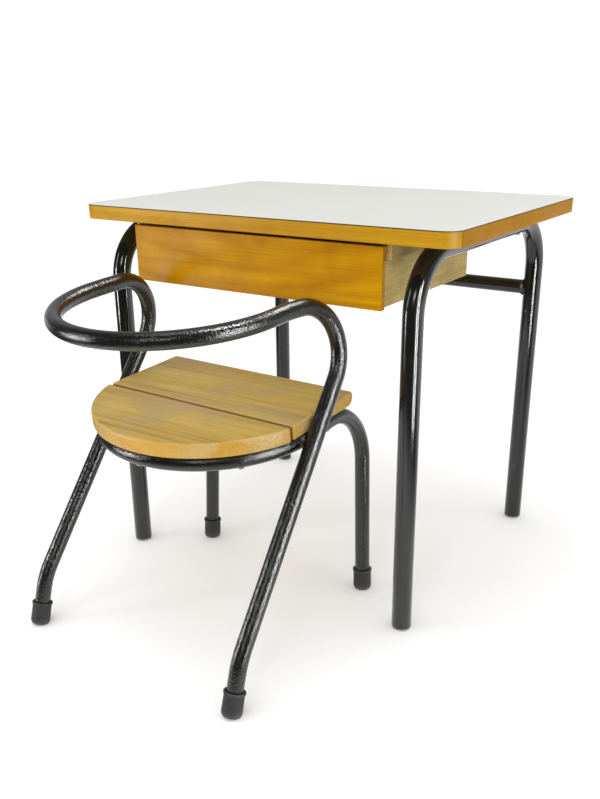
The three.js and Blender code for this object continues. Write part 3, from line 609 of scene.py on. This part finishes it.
# a bead of weld round a tube's end, on an axis along X
def weldRing(name, centre, ringRadius, lump, body):
    bm = bmesh.new()
    rimTop = Vector((0, 0, ringRadius))
    made = bmesh.ops.create_circle(bm, cap_ends=False, segments=10, radius=lump,
                                   matrix=Matrix.Translation(rimTop))
    edges = list(dict.fromkeys(e for v in made["verts"] for e in v.link_edges))
    bmesh.ops.rotate(bm, cent=rimTop, matrix=Matrix.Rotation(math.pi / 2, 3, "X"), verts=bm.verts)
    bmesh.ops.spin(bm, geom=made["verts"] + edges, cent=(0, 0, 0), axis=(1, 0, 0), angle=2 * math.pi,
                   steps=44, use_merge=True, use_duplicate=False)
    bmesh.ops.remove_doubles(bm, verts=bm.verts, dist=1e-6)
    for vert in bm.verts:
        vert.co *= 1 + deskFrame["weldUneven"] * noise.noise(vert.co * deskFrame["weldRipple"])
    bmesh.ops.translate(bm, vec=centre, verts=bm.verts)
    return finishPiece(bm, name, ["weld"], body, smoothAngle=80)


def glidePiece(name, node):
    low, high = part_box(node)
    bm = bmesh.new()
    spinProfile(bm, glideSize["section"])
    bmesh.ops.translate(bm, vec=((low.x + high.x) / 2, (low.y + high.y) / 2, 0), verts=bm.verts)
    return finishPiece(bm, name, ["glide"], "desk", [node])


def buildDeskFrame():
    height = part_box("desk_laminate_sheet")[1].z
    radius = deskFrame["tube"] / 2
    foot = deskFrame["footHeight"]
    frontY = deskFrontY + deskFrame["frontInset"]
    rearY = deskBackY - deskFrame["rearInset"]
    topZ = height - deskFrame["topDrop"]
    stretcherZ = height - deskFrame["stretcherDrop"]
    for name, side in (("left", -1), ("right", 1)):
        x = side * deskFrame["legX"]
        bm = bmesh.new()
        drawTube(bm, bentLine([(x, frontY, foot), (x, frontY, topZ), (x, rearY, topZ), (x, rearY, foot)],
                              [deskFrame["bend"]] * 2), radius, deskFrame["sides"])
        bevelSharp(bm, deskFrame["endRound"], 2, angle=60)
        finishPiece(bm, f"desk_tube_{name}", ["gloss"], "desk", [f"desk_frame_{name}"])
        weldRing(f"stretcher_weld_{name}", (x - side * (radius + deskFrame["weldGap"]), rearY, stretcherZ),
                 deskFrame["stretcherTube"] / 2, deskFrame["weldThickness"], "desk")
        for place in ("front", "rear"):
            glidePiece(f"glide_{place}_{name}", f"desk_glide_{place}_{name}")
            panScrew(f"frame_screw_head_{place}_{name}", f"frame_screw_{place}_{name}", "desk", screwLook)
    bm = bmesh.new()
    across = [Vector((side * deskFrame["legX"], rearY, stretcherZ)) for side in (-1, 1)]
    drawTube(bm, [(point, Vector((1, 0, 0))) for point in across], deskFrame["stretcherTube"] / 2,
             deskFrame["stretcherSides"])
    finishPiece(bm, "stretcher_tube", ["gloss"], "desk", ["rear_stretcher"])


buildDeskFrame()
print("desk frame done")


drawerLook = {
    "frontRound": 0.0012, "boxRound": 0.0008, "bottomRound": 0.0004,
    "grooveDepth": 0.006, "grooveTopDrop": 0.008, "grooveClearance": 0.0008,
    "nailRadius": 0.0011, "nailHeight": 0.0006, "nailInset": 0.005, "nailShares": (0.12, 0.4, 0.66),
}
runnerLook = {"web": 0.0065, "tongue": 0.008, "round": 0.0006}


# a strip that runs from front to back, from the corners of its section
def stripAlong(corners, frontY, backY, roundness):
    bm = bmesh.new()
    bm.faces.new([bm.verts.new((x, frontY, z)) for x, z in corners])
    out = bmesh.ops.extrude_face_region(bm, geom=bm.faces[:])
    bmesh.ops.translate(bm, vec=(0, backY - frontY, 0),
                        verts=[g for g in out["geom"] if isinstance(g, bmesh.types.BMVert)])
    bevelSharp(bm, roundness, 2)
    rimLargeFaces(bm, 0.001)
    return bm


def buildDrawerSide(name, side):
    low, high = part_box(f"drawer_side_{name}")
    inner, outer = (low.x, high.x) if side > 0 else (high.x, low.x)
    grooved = outer - side * drawerLook["grooveDepth"]
    roof = high.z - drawerLook["grooveTopDrop"]
    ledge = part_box(f"drawer_runner_{name}")[0].z - drawerLook["grooveClearance"]
    corners = [(inner, low.z), (outer, low.z), (outer, ledge), (grooved, ledge),
               (grooved, roof), (outer, roof), (outer, high.z), (inner, high.z)]
    bm = stripAlong(corners, low.y, high.y, drawerLook["boxRound"])
    finishPiece(bm, f"drawer_side_{name}_wood", ["rawWood"], "drawer",
                [f"drawer_side_{name}"])
    bm = bmesh.new()
    for share in drawerLook["nailShares"]:
        nailZ = low.z + share * (high.z - low.z)
        spot = Matrix.Translation((outer, high.y - drawerLook["nailInset"], nailZ))
        spot = spot @ Matrix.Rotation(math.pi / 2, 4, "Y")
        bmesh.ops.create_cone(bm, cap_ends=True, segments=14, radius1=drawerLook["nailRadius"],
                              radius2=drawerLook["nailRadius"], depth=drawerLook["nailHeight"], matrix=spot)
    finishPiece(bm, f"drawer_nails_{name}", ["steel"], "drawer")


def buildDrawer():
    plank("drawer_front", drawerLook["frontRound"], materials=("drawerFront",))
    plank("drawer_back", drawerLook["boxRound"], materials=("crossRawWood",))
    plank("drawer_bottom", drawerLook["bottomRound"], materials=("crossRawWood",))
    for name, side in (("left", -1), ("right", 1)):
        buildDrawerSide(name, side)


# the hardwood strips under the top, whose tongues stand in the grooves of the drawer's sides
def buildRunners():
    for name, side in (("left", -1), ("right", 1)):
        node = f"drawer_runner_{name}"
        low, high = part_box(node)
        inner, outer = (low.x, high.x) if side > 0 else (high.x, low.x)
        web = outer - side * runnerLook["web"]
        tongue = low.z + runnerLook["tongue"]
        corners = [(inner, low.z), (outer, low.z), (outer, high.z), (web, high.z), (web, tongue),
                   (inner, tongue)]
        bm = stripAlong(corners, low.y, high.y, runnerLook["round"])
        finishPiece(bm, f"runner_strip_{name}", ["rawWood"], "desk", [node])
        for place in ("front", "rear"):
            panScrew(f"runner_screw_head_{place}_{name}", f"runner_screw_{place}_{name}", "desk",
                     smallScrewLook)


buildDrawer()
buildRunners()
print("drawer done")


# points are for the right-hand side, in the chair's own frame, with the seat's centre near the origin
chairFrame = {
    "tube": 0.0213, "sides": 30, "bowSteps": 72,
    "knee": (0.175, -0.177, 0.066), "rearFootBack": 0.196, "kneeBend": 0.100,
    "elbow": (0.1645, 0.112, 0.458), "elbowBend": 0.062,
    "loopHalf": 0.148, "loopBack": 0.037, "loopHeight": 0.455, "loopDepth": 0.1755, "loopDrop": 0.0125,
    "loopEase": 0.200,
    "frontFoot": (0.148, 0.145, 0.0), "railCornerFront": 0.153, "railTaper": 0.010, "frontBend": 0.085,
    "weldGap": 0.0005, "sole": 0.006,
    "seatHeight": 0.319, "seatSlope": 0.065, "seam": 0.0003,
    "offset": -0.007, "turn": math.radians(-1.6), "elbowSetback": 0.0038,
}
seatSize = {
    "thickness": 0.020, "curve": 0.165, "curveCentre": 0.004, "arcSteps": 60,
    "split": -0.039, "gap": 0.0034, "splitCorner": 0.0052, "front": 0.099,
    "round": 0.0042, "underRound": 0.003, "frontRound": 0.0065, "frontUnderRound": 0.012,
}

tubeRadius = chairFrame["tube"] / 2
knee = Vector(chairFrame["knee"])
elbow = Vector(chairFrame["elbow"])
railZ = chairFrame["seatHeight"] - seatSize["thickness"] - chairFrame["seam"] - tubeRadius
slope = chairFrame["seatSlope"]
crossing = (railZ - knee.z) / (elbow.z - knee.z)
legAtRail = knee.lerp(elbow, crossing)
ringRadius = legAtRail.x - chairFrame["tube"] - chairFrame["weldGap"]
cornerHalf = ringRadius - chairFrame["railTaper"]
cornerFront = chairFrame["railCornerFront"]
railLean = math.atan2(cornerFront, cornerHalf) - math.acos(ringRadius / math.hypot(cornerHalf, cornerFront))


def railPoint(x, y):
    return Vector((x, y, railZ + slope * y))


# where a leg meets the floor, and the way it rises from there
def footLine(floorPoint, target):
    up = (Vector(target) - Vector(floorPoint)).normalized()
    return Vector(floorPoint), up


rearFoot, rearUp = footLine((knee.x, -chairFrame["rearFootBack"], 0), knee)
frontCorner = railPoint(cornerHalf, cornerFront)
frontFoot, frontUp = footLine(chairFrame["frontFoot"], frontCorner)


# rear foot, leaning leg, elbow, arm, back loop, and the same down the other side
def armStations():
    loopHalf, loopBack = chairFrame["loopHalf"], chairFrame["loopBack"]
    loopStart = Vector((loopHalf, -loopBack, chairFrame["loopHeight"]))
    ease = 2 * chairFrame["loopEase"] * math.tan(math.atan2(elbow.x - loopHalf, elbow.y + loopBack) / 2)
    fall = chairFrame["loopDrop"] / chairFrame["loopDepth"]
    depth = chairFrame["loopDepth"] - ease
    bowStart = loopStart + Vector((0, -ease, -fall * ease))
    line = bentLine([rearFoot + rearUp * chairFrame["sole"], knee, elbow, loopStart, bowStart],
                    [chairFrame["kneeBend"], chairFrame["elbowBend"], chairFrame["loopEase"]])[:-1]
    bow = []
    for n in range(chairFrame["bowSteps"] + 1):
        angle = math.pi * n / chairFrame["bowSteps"]
        back = depth * math.sin(angle)
        turned = depth * math.cos(angle)
        point = Vector((loopHalf * math.cos(angle), bowStart.y - back, bowStart.z - fall * back))
        way = Vector((-loopHalf * math.sin(angle), -turned, -fall * turned))
        bow.append((point, way.normalized()))
    return line + bow + mirrored(line)


# front foot, bend, rail, the ring under the seat, and the same back to the other foot
def seatStations():
    start = railPoint(ringRadius * math.cos(railLean), ringRadius * math.sin(railLean))
    line = bentLine([frontFoot + frontUp * chairFrame["sole"], frontCorner, start],
                    [chairFrame["frontBend"]])[:-1]
    ring = []
    for n in range(chairFrame["bowSteps"] + 1):
        angle = railLean - (math.pi + 2 * railLean) * n / chairFrame["bowSteps"]
        point = railPoint(ringRadius * math.cos(angle), ringRadius * math.sin(angle))
        way = Vector((math.sin(angle), -math.cos(angle), -slope * math.cos(angle)))
        ring.append((point, way.normalized()))
    return line + ring + mirrored(line)


armLine = armStations()
armReach = max(p.y for p, d in armLine) + tubeRadius
chairY = deskFrontY - armReach - chairFrame["elbowSetback"]
chairPlace = Matrix.Translation((chairFrame["offset"], chairY, 0))
chairPlace = chairPlace @ Matrix.Rotation(chairFrame["turn"], 4, "Z")
seatPlace = chairPlace @ Matrix.Translation((0, 0, railZ)) @ Matrix.Rotation(math.atan(slope), 4, "X")


def placed(bm, matrix):
    bmesh.ops.transform(bm, matrix=matrix, verts=bm.verts)
    return bm


def buildChairTubes():
    for name, line, node in (("arm_tube", armLine, "chair_arm_frame"),
                             ("seat_tube", seatStations(), "chair_seat_frame")):
        bm = bmesh.new()
        drawTube(bm, line, tubeRadius, chairFrame["sides"])
        finishPiece(placed(bm, chairPlace), name, ["hammered"], "chair", [node])


seatWeld = {"lump": (0.0036, 0.0125, 0.0085), "uneven": 0.22, "ripple": 420, "lean": math.radians(-36)}


# the lumps of weld where the seat's ring meets the leaning legs
def buildWelds():
    for name, side in (("left", -1), ("right", 1)):
        bm = bmesh.new()
        bmesh.ops.create_icosphere(bm, subdivisions=4, radius=1.0)
        bmesh.ops.scale(bm, vec=seatWeld["lump"], verts=bm.verts)
        for vert in bm.verts:
            ripple = noise.noise(vert.co * seatWeld["ripple"] + Vector((side, 0, 0)))
            vert.co *= 1 + seatWeld["uneven"] * ripple
        tilt = Matrix.Rotation(seatWeld["lean"], 4, "X")
        meeting = railPoint(side * (ringRadius + tubeRadius), legAtRail.y)
        spot = Matrix.Translation(meeting)
        placed(bm, chairPlace @ spot @ tilt)
        finishPiece(bm, f"seat_weld_{name}", ["weld"], "chair", smoothAngle=80)


ferruleSize = {
    "boreGap": 0.0003, "wall": 0.0022, "soleFlat": 0.0095, "soleRound": 0.0116, "lip": 0.0009,
    "boreFloor": 0.008, "edgeRound": 0.0004, "soleCut": 0.0001,
}


def buildFerrules():
    bore = tubeRadius + ferruleSize["boreGap"]
    outer = bore + ferruleSize["wall"]
    lip = outer + ferruleSize["lip"]
    boreFloor = ferruleSize["boreFloor"]
    # radius and height along the section: the sole, up the wall, over the lip and down the bore
    profile = [(0.0, -0.0004), (ferruleSize["soleFlat"], -0.0002), (ferruleSize["soleRound"], 0.0012),
               (outer - 0.0004, 0.0035), (outer, 0.006), (outer - 0.0002, 0.0275), (outer + 0.0003, 0.0284),
               (lip, 0.0292), (lip, 0.0312), (outer + 0.0003, 0.032), (bore + 0.0006, 0.0322),
               (bore, 0.0316), (bore, boreFloor), (0.0, boreFloor)]
    for place, foot, up in (("rear", rearFoot, rearUp), ("front", frontFoot, frontUp)):
        for name, side in (("left", -1), ("right", 1)):
            bm = bmesh.new()
            spinProfile(bm, profile, 40)
            bevelSharp(bm, ferruleSize["edgeRound"], 2, angle=50)
            way = Vector((side * up.x, up.y, up.z))
            placed(bm, Vector((0, 0, 1)).rotation_difference(way).to_matrix().to_4x4())
            placed(bm, chairPlace @ Matrix.Translation((side * foot.x, foot.y, 0)))
            # the leaning sole is cut off level, where it stands on the floor
            bmesh.ops.bisect_plane(bm, geom=bm.verts[:] + bm.edges[:] + bm.faces[:],
                                   plane_co=(0, 0, ferruleSize["soleCut"]), plane_no=(0, 0, -1),
                                   clear_outer=True)
            rim = [e for e in bm.edges if len(e.link_faces) == 1]
            bmesh.ops.edgeloop_fill(bm, edges=rim)
            finishPiece(bm, f"rubber_foot_{place}_{name}", ["rubber"], "chair",
                        [f"ferrule_{place}_{name}"], smoothAngle=50)


# the walls that face each other across the split are given a darker copy of the seat wood: painted shade in
# the gap between the boards
def paintShadeInSplit(bm, size):
    for face in bm.faces:
        nearSplit = abs(face.calc_center_median().y - size["split"]) < size["gap"] / 2 + 0.0015
        face.material_index = 1 if nearSplit and abs(face.normal.y) > 0.6 else 0


def buildRearBoard(size, bottom):
    bm = bmesh.new()
    rise = math.asin((size["split"] - size["gap"] / 2 - size["curveCentre"]) / size["curve"])
    sweep = math.pi + 2 * rise
    arc = [math.pi - rise + sweep * n / size["arcSteps"] for n in range(size["arcSteps"] + 1)]
    centre = size["curveCentre"]
    outlineFace(bm, [(size["curve"] * math.cos(a), centre + size["curve"] * math.sin(a)) for a in arc])
    extrudeUp(bm, size["thickness"])
    bevelSharp(bm, size["splitCorner"], 3, angle=60, only=isUpright)
    bevelSharp(bm, size["round"], 5, angle=60, only=atHeight(size["thickness"]))
    bevelSharp(bm, size["underRound"], 3, angle=60, only=atHeight(0))
    rimLargeFaces(bm, 0.001)
    bm.normal_update()
    paintShadeInSplit(bm, size)
    bmesh.ops.translate(bm, vec=(0, 0, bottom), verts=bm.verts)
    finishPiece(placed(bm, seatPlace), "seat_rear_board", ["seatWood", "splitShadeWood"], "chair",
                ["seat_board_rear"])


def buildFrontBoard(size, bottom):
    legAtSeat = knee.lerp(elbow, (chairFrame["seatHeight"] + 0.005 - knee.z) / (elbow.z - knee.z))
    half = legAtSeat.x - tubeRadius - chairFrame["seam"]
    back = size["split"] + size["gap"] / 2
    bm = bmesh.new()
    outlineFace(bm, [(-half, back), (half, back), (half, size["front"]), (-half, size["front"])])
    extrudeUp(bm, size["thickness"])
    for roundness, level, line in (
        (size["frontUnderRound"], 0, size["front"]),
        (size["frontRound"], size["thickness"], size["front"]),
        (size["round"], size["thickness"], back),
        (size["round"], 0, back),
    ):
        bevelSharp(bm, roundness, 6, angle=60,
                   only=lambda e: atHeight(level)(e) and all(abs(v.co.y - line) < 1e-4 for v in e.verts))
    bevelSharp(bm, size["underRound"], 4, angle=60,
               only=lambda e: all(abs(abs(v.co.x) - half) < 1e-4 for v in e.verts))
    rimLargeFaces(bm, 0.001)
    bm.normal_update()
    paintShadeInSplit(bm, size)
    bmesh.ops.translate(bm, vec=(0, 0, bottom), verts=bm.verts)
    finishPiece(placed(bm, seatPlace), "seat_front_board", ["seatWood", "splitShadeWood"], "chair",
                ["seat_board_front"])


def buildSeat():
    bottom = tubeRadius + chairFrame["seam"]
    buildRearBoard(seatSize, bottom)
    buildFrontBoard(seatSize, bottom)


def buildSeatScrews():
    for node in sorted(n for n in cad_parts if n.startswith("seat_screw")):
        panScrew(node + "_head", node, "chair", dict(screwLook, underHead=0.0028), math.atan(slope))


buildChairTubes()
buildWelds()
buildFerrules()
buildSeat()
buildSeatScrews()
print("chair done")


studio = {
    "floorSize": 60.0, "floorColour": (0.98, 0.985, 0.99, 1.0), "airStrength": 1.12,
    # what gloss mirrors: a dark room in front, the white sweep behind
    "glossFront": 0.05, "glossBack": 0.45,
    "paperCentre": (0.0, -0.15, 0.0), "paperFade": (0.42, 0.72), "darkFloor": (0.05, 0.05, 0.05, 1.0),
    "camera": (0.7111, -0.92449, 0.68585), "turn": (68.543, 0.690, 34.239), "lens": 39.435,
    "shift": (0.0080, 0.0531),
}
# "lights" says whether a lamp lights surfaces, or only shows as a highlight in them
lamps = {
    "leftSoftbox": {
        "spot": (-1.9, -1.9, 1.3), "aim": (0, 0, 0.3), "size": (0.30, 1.1), "power": 7, "lights": True,
    },
    "frontSoftbox": {
        "spot": (0.9, -2.4, 1.6), "aim": (0, 0, 0.3), "size": (0.6, 0.6), "power": 9, "lights": True,
    },
    "topSoftbox": {
        "spot": (-0.2, -0.4, 2.8), "aim": (0, 0, 0.4), "size": (0.9, 0.9), "power": 8, "lights": True,
    },
    "topCard": {
        "spot": (0.85, 0.05, 2.3), "aim": (0.1, -0.3, 0.4), "size": (0.4, 0.4), "power": 34,
        "lights": False,
    },
    "leftCard": {
        "spot": (-1.0, -1.05, 0.35), "aim": (0, 0, 0.35), "size": (0.08, 0.6), "power": 8,
        "lights": False,
    },
    "rightCard": {
        "spot": (0.80, -0.33, 0.4), "aim": (0.2, 0, 0.4), "size": (0.03, 0.8), "power": 5,
        "lights": False,
    },
    "edgeCard": {
        "spot": (0.85, -0.16, 0.4), "aim": (0.2, 0, 0.4), "size": (0.03, 0.8), "power": 5,
        "lights": False,
    },
    "rearSoftbox": {
        "spot": (0.3, 1.7, 2.1), "aim": (0, -0.3, 0.4), "size": (0.9, 0.5), "power": 30,
        "lights": False,
    },
}


def buildLamp(name, lamp):
    light = bpy.data.lights.new(name, "AREA")
    light.shape = "RECTANGLE"
    light.size, light.size_y = lamp["size"]
    light.energy = lamp["power"]
    holder = bpy.data.objects.new(name, light)
    holder.location = lamp["spot"]
    holder.rotation_euler = (Vector(lamp["aim"]) - Vector(lamp["spot"])).to_track_quat("-Z", "Y").to_euler()
    holder.visible_diffuse = lamp["lights"]
    holder.visible_camera = False
    scene.collection.objects.link(holder)


def buildFloor():
    bm = bmesh.new()
    bmesh.ops.create_grid(bm, x_segments=8, y_segments=8, size=studio["floorSize"] / 2)
    mesh = bpy.data.meshes.new("floor")
    bm.to_mesh(mesh)
    bm.free()
    floor = bpy.data.objects.new("floor", mesh)
    paper, tree, shader, place = startFinish("paperFloor")
    spot = addNode(tree, "ShaderNodeVectorMath", operation="DISTANCE")
    tree.links.new(place, spot.inputs[0])
    spot.inputs[1].default_value = studio["paperCentre"]
    apart = addNode(tree, "ShaderNodeSeparateXYZ")
    tree.links.new(place, apart.inputs[0])
    inFront = remap(tree, apart.outputs["Y"], 0.5, 0.1)
    faraway = calc(tree, "MULTIPLY", remap(tree, spot.outputs["Value"], *studio["paperFade"]), inFront)
    glossy = addNode(tree, "ShaderNodeLightPath").outputs["Is Glossy Ray"]
    dark = calc(tree, "MULTIPLY", faraway, glossy)
    colour = blendColour(tree, dark, studio["floorColour"], studio["darkFloor"])
    tree.links.new(colour, shader.inputs["Base Color"])
    shader.inputs["Roughness"].default_value = 0.85
    shader.inputs["Specular IOR Level"].default_value = 0.1
    mesh.materials.append(paper)
    scene.collection.objects.link(floor)


def buildAir():
    world = bpy.data.worlds.new("studioAir")
    world.use_nodes = True
    air = world.node_tree
    room = air.nodes["Background"]
    room.inputs["Color"].default_value = (1, 1, 1, 1)
    glossy = addNode(air, "ShaderNodeLightPath").outputs["Is Glossy Ray"]
    way = addNode(air, "ShaderNodeSeparateXYZ")
    air.links.new(addNode(air, "ShaderNodeTexCoord").outputs["Generated"], way.inputs[0])
    mirroredRoom = remap(air, way.outputs["Y"], -0.1, 0.5, studio["glossFront"], studio["glossBack"])
    plain = calc(air, "MULTIPLY", calc(air, "SUBTRACT", 1.0, glossy), studio["airStrength"])
    mirroredRoom = calc(air, "MULTIPLY", mirroredRoom, glossy)
    air.links.new(calc(air, "ADD", plain, mirroredRoom), room.inputs["Strength"])
    scene.world = world


def buildCamera():
    camera = bpy.data.cameras.new("camera")
    camera.sensor_width = 36.0
    camera.lens = studio["lens"]
    camera.shift_x, camera.shift_y = studio["shift"]
    holder = bpy.data.objects.new("camera", camera)
    holder.location = Vector(studio["camera"]) + Vector((0, deskFrontY, 0))
    holder.rotation_euler = [math.radians(a) for a in studio["turn"]]
    scene.collection.objects.link(holder)
    scene.camera = holder


buildFloor()
buildAir()
for lampName, lampSettings in lamps.items():
    buildLamp(lampName, lampSettings)
buildCamera()
scene.view_settings.view_transform = "Standard"
print("studio done")
